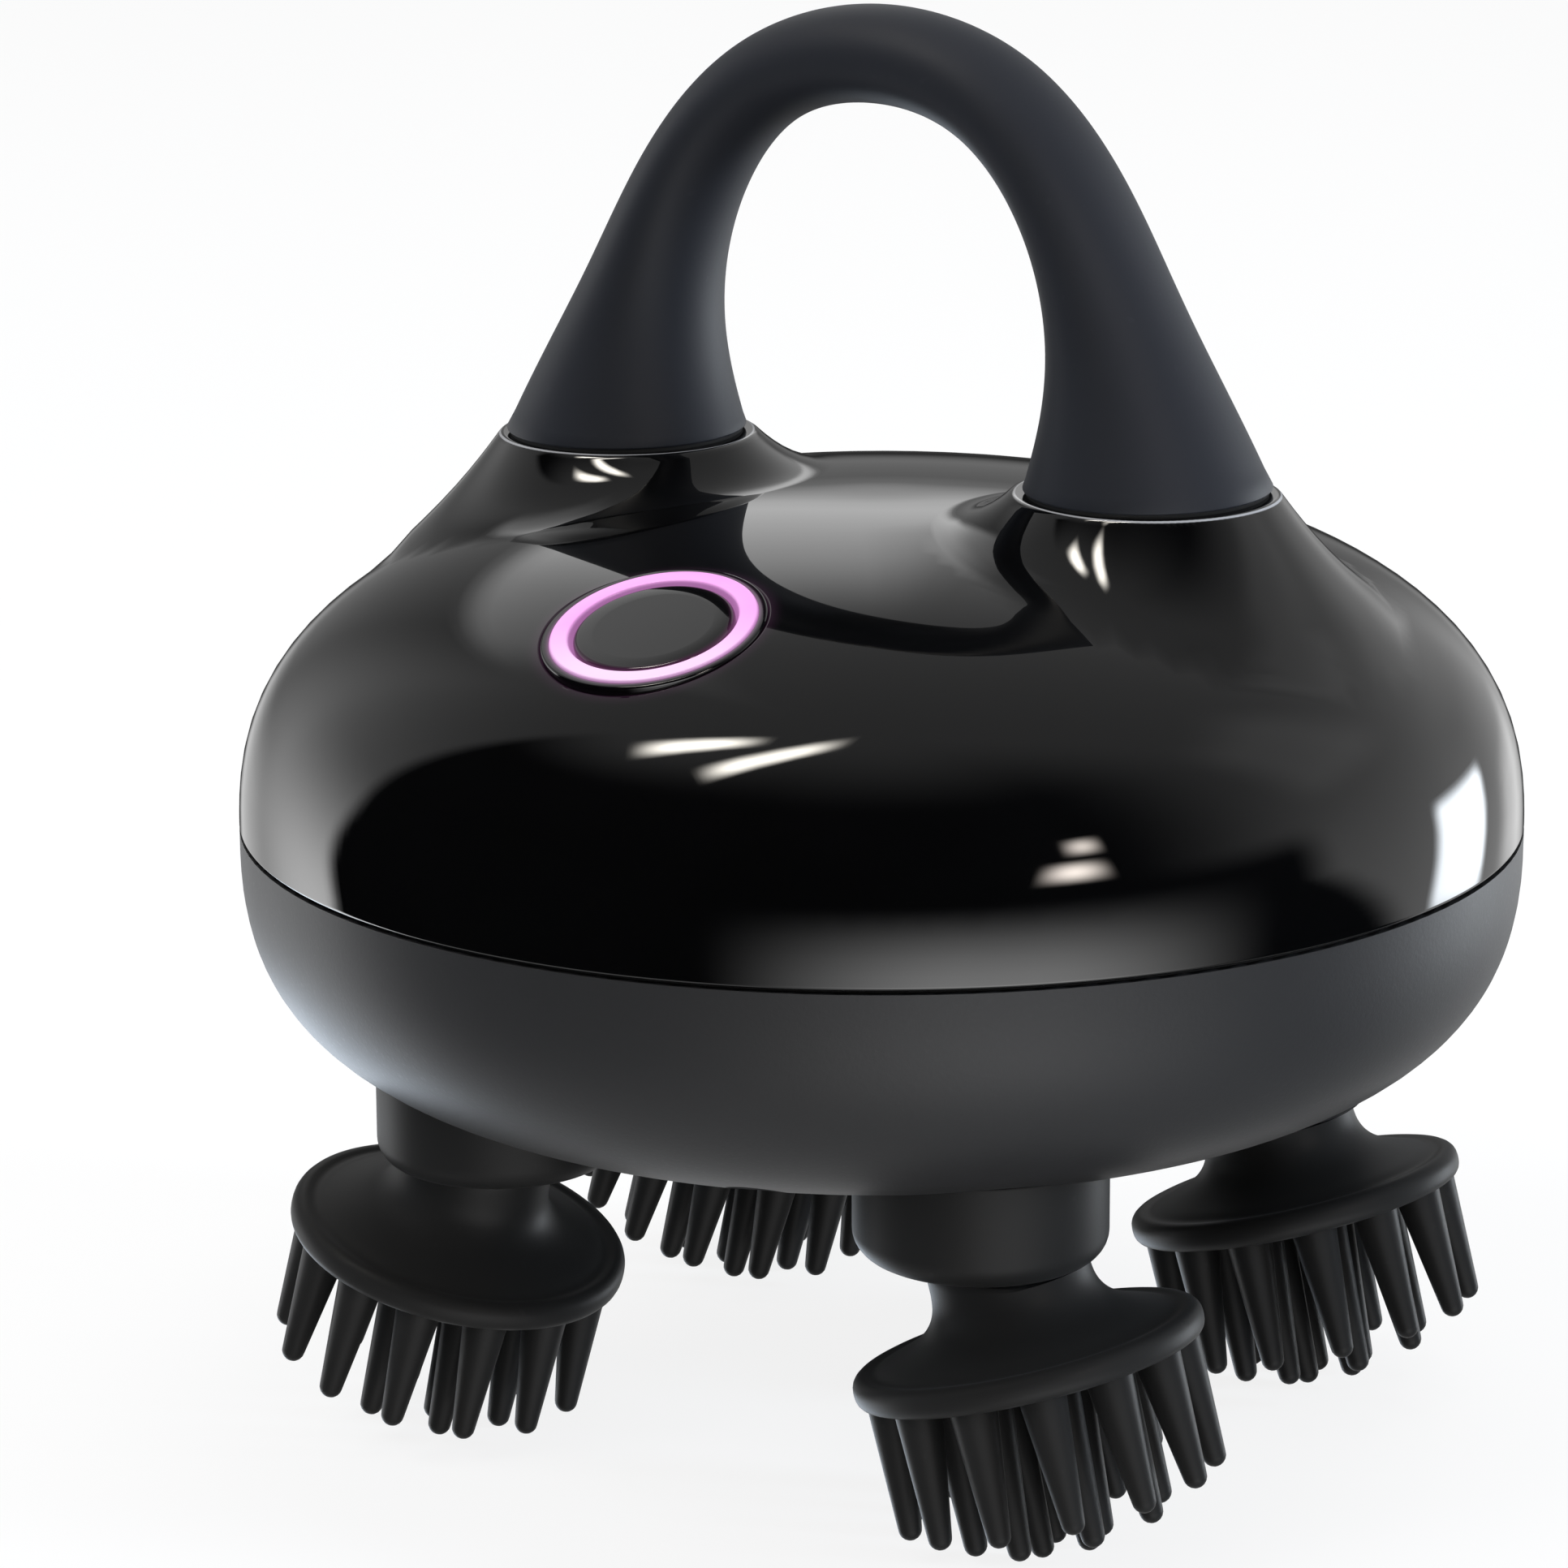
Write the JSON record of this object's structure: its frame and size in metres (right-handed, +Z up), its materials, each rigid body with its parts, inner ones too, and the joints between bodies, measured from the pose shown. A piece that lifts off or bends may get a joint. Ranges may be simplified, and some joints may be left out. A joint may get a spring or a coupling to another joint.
{
  "type": "electric scalp massager",
  "caption": "Handheld round massager with an arched handle, a lit power button and tilted rotating heads of soft fingers, driven by an inner gear train.",
  "frame": {"origin": "on the body's axis, on the floor that the finger tips stand on", "axes": "+Z up, X along the handle, the power button faces -Y"},
  "size_m": [0.1052, 0.1052, 0.1174],
  "materials": {
    "shell_gloss": "piano black moulded shell, polished",
    "shell_matte": "fine textured charcoal moulding",
    "grip": "soft-touch slate elastomer",
    "hard_core": "glass-filled nylon",
    "silicone": "matte black silicone",
    "seal_rubber": "black rubber",
    "light_guide": "lit frosted light guide",
    "gear_nylon": "natural acetal",
    "gearbox_plastic": "glass-filled nylon",
    "steel": "ground steel",
    "bronze": "sintered bronze",
    "motor_steel": "nickel plated steel",
    "circuit_board": "green solder mask",
    "component": "moulded component bodies",
    "led": "light emitting diodes",
    "battery_wrap": "blue shrink sleeve on a lithium cell",
    "lead_red": "lead insulation"
  },
  "bodies": {
    "housing": {"battery_cell": "battery_wrap", "battery_cradle": "gearbox_plastic", "battery_leads": "lead_red", "board_components": "component", "button_bezel": "shell_gloss", "button_board": "circuit_board", "charge_board": "circuit_board", "charge_socket": "steel", "gear_axles": "steel", "gearbox_base": "gearbox_plastic", "gearbox_cover": "gearbox_plastic", "gearbox_screws": "steel", "handle_core": "hard_core", "handle_grip": "grip", "handle_screws": "steel", "handle_seals": "seal_rubber", "light_ring": "light_guide", "lower_shell": "shell_matte", "main_board": "circuit_board", "motor_can": "motor_steel", "motor_end_cap": "gearbox_plastic", "motor_leads": "lead_red", "seam_gasket": "seal_rubber", "shaft_seals": "seal_rubber", "shell_screws": "steel", "small_screws": "steel", "spindle_bushes": "bronze", "status_leds": "led", "tact_switch": "component", "upper_shell": "shell_gloss"},
    "button": {"button_cap": "shell_gloss", "switch_plunger": "hard_core"},
    "charge_flap": {"charge_cover": "seal_rubber"},
    "motor_rotor": {"motor_armature": "motor_steel", "motor_pinion": "bronze"},
    "reduction": {"reduction_gear": "gear_nylon"},
    "pair_left": {"pair_gear_left": "gear_nylon"},
    "pair_right": {"pair_gear_right": "gear_nylon"},
    "spindle_front_left": {"spindle_gear_front_left": "gear_nylon", "spindle_front_left": "steel", "drive_cup_front_left": "silicone"},
    "head_front_left": {"massage_head_front_left": "silicone", "head_core_front_left": "hard_core"},
    "spindle_front_right": {"spindle_gear_front_right": "gear_nylon", "spindle_front_right": "steel", "drive_cup_front_right": "silicone"},
    "head_front_right": {"massage_head_front_right": "silicone", "head_core_front_right": "hard_core"},
    "spindle_back_left": {"spindle_gear_back_left": "gear_nylon", "spindle_back_left": "steel", "drive_cup_back_left": "silicone"},
    "head_back_left": {"massage_head_back_left": "silicone", "head_core_back_left": "hard_core"},
    "spindle_back_right": {"spindle_gear_back_right": "gear_nylon", "spindle_back_right": "steel", "drive_cup_back_right": "silicone"},
    "head_back_right": {"massage_head_back_right": "silicone", "head_core_back_right": "hard_core"}
  },
  "joints": [
    {"name": "button_press", "type": "slide", "parent": "housing", "child": "button", "axis": [0, 0.3242, -0.946], "range_m": [0, 0.0006], "stiffness_N_per_m": 1500, "springref_m": -0.0008},
    {"name": "charge_flap_hinge", "type": "hinge", "parent": "housing", "child": "charge_flap", "pos_m": [-0.0073, 0.05124, 0.04274], "axis": [0, 0.2881, 0.9576], "range_deg": [0, 100]},
    {"name": "motor_spin", "type": "hinge", "parent": "housing", "child": "motor_rotor", "pos_m": [0, 0, 0.05924], "axis": [0, 0, 1], "continuous": true},
    {"name": "reduction_spin", "type": "hinge", "parent": "housing", "child": "reduction", "pos_m": [-0.00239, 0.0143, 0.04524], "axis": [0, 0, 1], "continuous": true},
    {"name": "pair_left_spin", "type": "hinge", "parent": "housing", "child": "pair_left", "pos_m": [-0.0112, 0, 0.04424], "axis": [0, 0, 1], "continuous": true},
    {"name": "pair_right_spin", "type": "hinge", "parent": "housing", "child": "pair_right", "pos_m": [0.0112, 0, 0.04424], "axis": [0, 0, 1], "continuous": true},
    {"name": "spindle_front_left_spin", "type": "hinge", "parent": "housing", "child": "spindle_front_left", "pos_m": [-0.02281, -0.02281, 0.03924], "axis": [0, 0, 1], "continuous": true},
    {"name": "head_front_left_pull", "type": "slide", "parent": "spindle_front_left", "child": "head_front_left", "axis": [-0.2706, 0, -0.9627], "range_m": [0, 0.008]},
    {"name": "spindle_front_right_spin", "type": "hinge", "parent": "housing", "child": "spindle_front_right", "pos_m": [0.02281, -0.02281, 0.03924], "axis": [0, 0, 1], "continuous": true},
    {"name": "head_front_right_pull", "type": "slide", "parent": "spindle_front_right", "child": "head_front_right", "axis": [0.2706, 0, -0.9627], "range_m": [0, 0.008]},
    {"name": "spindle_back_left_spin", "type": "hinge", "parent": "housing", "child": "spindle_back_left", "pos_m": [-0.02281, 0.02281, 0.03924], "axis": [0, 0, 1], "continuous": true},
    {"name": "head_back_left_pull", "type": "slide", "parent": "spindle_back_left", "child": "head_back_left", "axis": [-0.2706, 0, -0.9627], "range_m": [0, 0.008]},
    {"name": "spindle_back_right_spin", "type": "hinge", "parent": "housing", "child": "spindle_back_right", "pos_m": [0.02281, 0.02281, 0.03924], "axis": [0, 0, 1], "continuous": true},
    {"name": "head_back_right_pull", "type": "slide", "parent": "spindle_back_right", "child": "head_back_right", "axis": [0.2706, 0, -0.9627], "range_m": [0, 0.008]}
  ],
  "couplings": [
    {"joint": "spindle_back_left_spin", "follows": "spindle_front_left_spin", "ratio": 1},
    {"joint": "spindle_front_right_spin", "follows": "spindle_front_left_spin", "ratio": -1},
    {"joint": "spindle_back_right_spin", "follows": "spindle_front_left_spin", "ratio": -1},
    {"joint": "pair_left_spin", "follows": "spindle_front_left_spin", "ratio": -1.2857},
    {"joint": "pair_right_spin", "follows": "spindle_front_left_spin", "ratio": 1.2857},
    {"joint": "reduction_spin", "follows": "spindle_front_left_spin", "ratio": 2.5714},
    {"joint": "motor_spin", "follows": "spindle_front_left_spin", "ratio": -9.8571}
  ]
}
